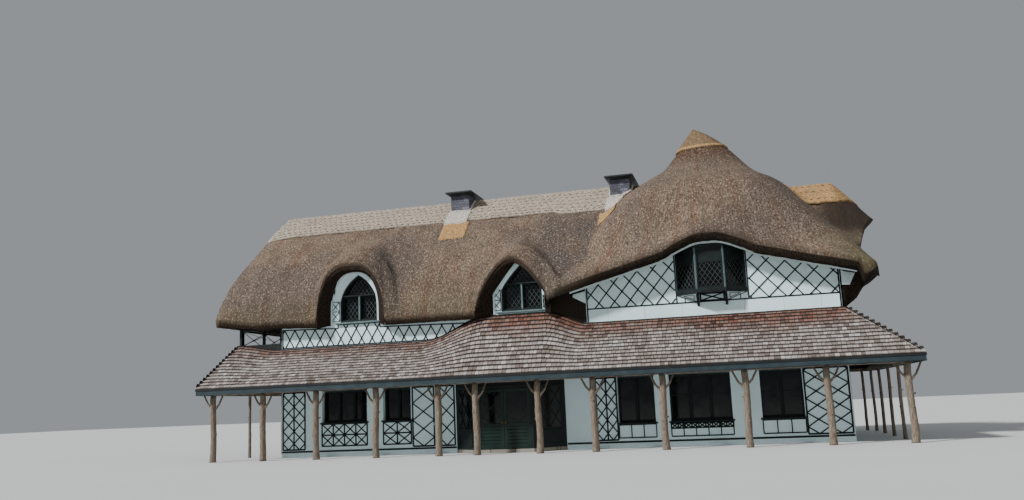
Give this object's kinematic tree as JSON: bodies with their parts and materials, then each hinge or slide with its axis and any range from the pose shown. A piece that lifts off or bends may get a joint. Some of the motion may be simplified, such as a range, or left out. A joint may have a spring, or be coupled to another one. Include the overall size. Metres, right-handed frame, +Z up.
{
  "type": "thatched cottage",
  "caption": "Two-storey cottage with a deep swept thatched roof, a tall tent-shaped front gable with a bow window, and a shingled veranda on tree-trunk posts all round.",
  "frame": {"origin": "on the ground at the middle of the overall box", "axes": "+X along the front from left to right, -Y out of the front, +Z up"},
  "size_m": [25.54, 11.3, 12.08],
  "materials": {
    "weathered_thatch": "weathered reed thatch, matt",
    "new_straw": "pale block-cut straw ridge, matt",
    "plaster": "white limewashed plaster",
    "dark_timber": "near-black green painted timber",
    "green_door": "dark green painted timber",
    "glass": "clear window glass",
    "shingles": "weathered split wooden shingles",
    "fascia": "blue-green painted board",
    "bark": "rough tree trunk with its bark",
    "slate": "dark slate hanging",
    "boards": "worn floor boards"
  },
  "bodies": {
    "house": {"chimney_left": "slate", "chimney_right": "slate", "thatch_long_roof": "weathered_thatch", "thatch_gable_roof": "weathered_thatch", "ridge_cap_long": "new_straw", "ridge_cap_gablet": "new_straw", "peak_cap": "new_straw", "ground_floor": "boards", "upper_floor": "boards", "front_wall_left": "plaster", "front_wall_right": "plaster", "front_wall_over_entrance": "plaster", "rear_wall": "plaster", "left_wall": "plaster", "right_wall": "plaster", "front_wall_upper": "plaster", "gable_wall": "plaster", "rear_wall_upper": "plaster", "left_wall_upper": "plaster", "right_wall_upper": "plaster", "gable_barge_board": "plaster", "bay_screen_left": "dark_timber", "bay_glass_left": "glass", "bay_screen_right": "dark_timber", "bay_glass_right": "glass", "entrance_frame": "dark_timber", "bay_roof": "dark_timber", "glass_front_left": "glass", "glass_front_right": "glass", "glass_rear": "glass", "glass_front_upper": "glass", "glass_rear_upper": "glass", "glass_left": "glass", "glass_right": "glass", "glass_balcony_door": "glass", "glass_gablet": "glass", "bow_window_frame": "dark_timber", "bow_window_glass": "glass", "bow_window_board": "dark_timber", "bow_window_head": "dark_timber", "veranda_roof_front": "shingles", "veranda_roof_rear": "shingles", "veranda_roof_left": "shingles", "veranda_roof_right": "shingles", "fascia_front": "fascia", "fascia_rear": "fascia", "fascia_left": "fascia", "fascia_right": "fascia", "posts_front_left": "bark", "posts_front_right": "bark", "posts_rear": "bark", "posts_left": "bark", "posts_right": "bark", "balcony_front": "dark_timber", "balcony_rear": "dark_timber", "balcony_left": "dark_timber"},
    "left_door": {"door_left": "green_door"},
    "right_door": {"door_right": "green_door"}
  },
  "joints": [
    {"name": "door_left_hinge", "type": "hinge", "parent": "house", "child": "left_door", "pos_m": [-1.784, -4.206, 1.165], "axis": [0, 0, 1], "range_deg": [0, 100]},
    {"name": "door_right_hinge", "type": "hinge", "parent": "house", "child": "right_door", "pos_m": [0.124, -4.206, 1.165], "axis": [0, 0, -1], "range_deg": [0, 100]}
  ]
}
